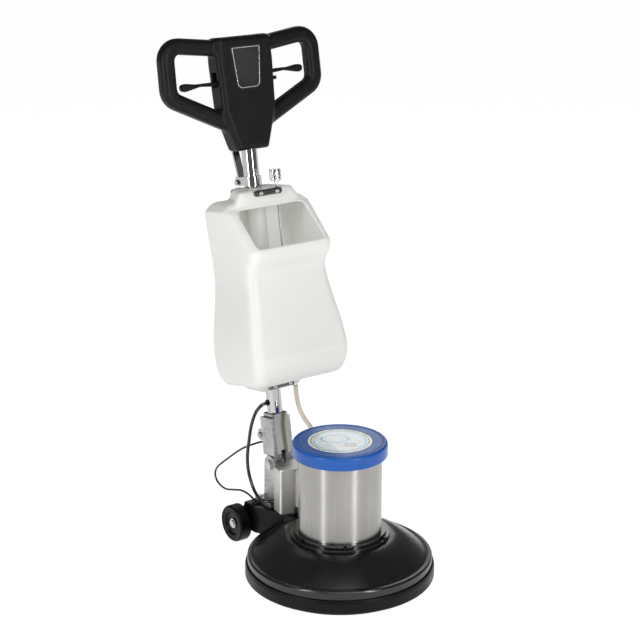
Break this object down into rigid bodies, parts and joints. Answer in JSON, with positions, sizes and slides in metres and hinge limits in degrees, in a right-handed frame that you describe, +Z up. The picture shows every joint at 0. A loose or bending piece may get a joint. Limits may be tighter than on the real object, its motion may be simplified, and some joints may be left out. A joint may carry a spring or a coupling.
{
  "type": "rotary floor machine",
  "caption": "Single-disc rotary floor scrubber with a tilting column, solution tank, twin-loop handle, switch levers and transport wheels.",
  "frame": {"origin": "on the floor under the motor's axis, in the middle of the floor pad's lower face", "axes": "+Z up, -Y towards the front of the deck, +Y towards the operator, +X to the operator's left hand when they face the machine from behind"},
  "size_m": [0.45, 0.6995, 1.2483],
  "materials": {
    "black_shroud": "gloss black enamel",
    "black_rubber": "matte black rubber",
    "black_nylon": "fine textured black nylon",
    "black_metal": "satin black paint",
    "stainless": "polished stainless",
    "blue_cap": "gloss blue",
    "label": "printed label",
    "cast_aluminium": "rough cast",
    "chrome": "mirror chrome",
    "steel": "machined steel",
    "laminations": "stacked laminations",
    "copper": "enamelled copper wire",
    "bronze": "machined bronze",
    "capacitor_film": "white sleeve",
    "tank_plastic": "translucent white polyethylene",
    "driver_plastic": "moulded grey",
    "pad_fibre": "non-woven fibre",
    "hose": "beige clear hose",
    "cable": "glossy black cable",
    "badge": "dark badge with silver line"
  },
  "bodies": {
    "base": {"shroud": "black_shroud", "bumper": "black_rubber", "floor_bolts": "black_metal", "motor_collar": "black_shroud", "motor_plate": "cast_aluminium", "motor_housing": "stainless", "motor_cap": "blue_cap", "cap_label": "label", "end_shield": "cast_aluminium", "stator_core": "laminations", "stator_windings": "copper", "tie_bolts": "steel", "bearings": "steel", "gear_case": "cast_aluminium", "ring_gear": "steel", "capacitor_box": "stainless", "capacitors": "capacitor_film", "wheel_bracket": "black_metal", "axle": "steel", "axle_clips": "steel", "base_yoke": "cast_aluminium", "yoke_bolts": "steel", "pivot_bolt": "steel", "hose_inlet": "steel", "cable_glands": "black_nylon", "motor_cable": "cable", "accessory_cable": "cable", "water_hose": "hose"},
    "rotor": {"rotor_core": "laminations", "rotor_shaft": "steel", "cooling_fan": "driver_plastic"},
    "drive": {"output_carrier": "steel", "clutch_plate": "steel", "pad_driver": "driver_plastic", "floor_pad": "pad_fibre"},
    "planet_1": {"planet_gear_1": "bronze"},
    "planet_2": {"planet_gear_2": "bronze"},
    "planet_3": {"planet_gear_3": "bronze"},
    "left_wheel": {"left_wheel": "black_rubber"},
    "right_wheel": {"right_wheel": "black_rubber"},
    "column": {"column_tube": "chrome", "column_socket": "chrome", "column_foot": "cast_aluminium", "column_bolts": "chrome", "tank": "tank_plastic", "tank_clamps": "steel", "clamp_bolts": "chrome", "valve_body": "steel", "handle_front": "black_nylon", "handle_rear": "black_nylon", "handle_badge": "badge", "cable_bushings": "black_rubber", "lever_bracket": "chrome", "microswitches": "driver_plastic"},
    "left_lever": {"left_lever": "black_nylon"},
    "right_lever": {"right_lever": "black_nylon"},
    "safety_button": {"safety_button": "black_nylon"},
    "adjusting_lever": {"adjusting_lever": "chrome"},
    "lock_rod": {"lock_rod": "steel"},
    "valve_rod": {"valve_rod": "chrome"}
  },
  "joints": [
    {"name": "handle_tilt", "type": "hinge", "parent": "base", "child": "column", "pos_m": [0, 0.246, 0.21], "axis": [-1, 0, 0], "range_deg": [-9, 45], "deforming": ["motor_cable", "accessory_cable", "water_hose"]},
    {"name": "rotor_spin", "type": "hinge", "parent": "base", "child": "rotor", "pos_m": [0, 0, 0.2], "axis": [0, 0, 1], "continuous": true},
    {"name": "brush_spin", "type": "hinge", "parent": "base", "child": "drive", "pos_m": [0, 0, 0.03], "axis": [0, 0, 1], "continuous": true},
    {"name": "planet_1_spin", "type": "hinge", "parent": "drive", "child": "planet_1", "pos_m": [0, 0.036, 0.09], "axis": [0, 0, 1], "continuous": true},
    {"name": "planet_2_spin", "type": "hinge", "parent": "drive", "child": "planet_2", "pos_m": [-0.03118, -0.018, 0.09], "axis": [0, 0, 1], "continuous": true},
    {"name": "planet_3_spin", "type": "hinge", "parent": "drive", "child": "planet_3", "pos_m": [0.03118, -0.018, 0.09], "axis": [0, 0, 1], "continuous": true},
    {"name": "left_wheel_spin", "type": "hinge", "parent": "base", "child": "left_wheel", "pos_m": [0, 0.3, 0.055], "axis": [1, 0, 0], "continuous": true},
    {"name": "right_wheel_spin", "type": "hinge", "parent": "base", "child": "right_wheel", "pos_m": [0, 0.3, 0.055], "axis": [1, 0, 0], "continuous": true},
    {"name": "left_lever_squeeze", "type": "hinge", "parent": "column", "child": "left_lever", "pos_m": [-0.058, 0.39211, 1.1325], "axis": [0, 0.9877, -0.1564], "range_deg": [0, 12], "stiffness_Nm_per_rad": 1.5, "springref_deg": -11.46},
    {"name": "right_lever_squeeze", "type": "hinge", "parent": "column", "child": "right_lever", "pos_m": [0.058, 0.39461, 1.1483], "axis": [0, -0.9877, 0.1564], "range_deg": [0, 12], "stiffness_Nm_per_rad": 1.5, "springref_deg": -11.46},
    {"name": "safety_press", "type": "slide", "parent": "column", "child": "safety_button", "axis": [-1, 0, 0], "range_m": [0, 0.005], "stiffness_N_per_m": 200, "springref_m": -0.003},
    {"name": "adjusting_pull", "type": "hinge", "parent": "column", "child": "adjusting_lever", "pos_m": [0, 0.39771, 0.8866], "axis": [-1, 0, 0], "range_deg": [0, 12], "stiffness_Nm_per_rad": 4, "springref_deg": -20.05},
    {"name": "lock_lift", "type": "slide", "parent": "column", "child": "lock_rod", "axis": [0, 0.1564, 0.9877], "range_m": [0, 0.0085]},
    {"name": "valve_lift", "type": "slide", "parent": "column", "child": "valve_rod", "axis": [0, 0.1564, 0.9877], "range_m": [0, 0.012]}
  ],
  "couplings": [
    {"joint": "brush_spin", "follows": "rotor_spin", "ratio": 0.125},
    {"joint": "planet_1_spin", "follows": "rotor_spin", "ratio": -0.29167},
    {"joint": "planet_2_spin", "follows": "rotor_spin", "ratio": -0.29167},
    {"joint": "planet_3_spin", "follows": "rotor_spin", "ratio": -0.29167},
    {"joint": "lock_lift", "follows": "adjusting_pull", "m_per_rad": 0.04}
  ]
}
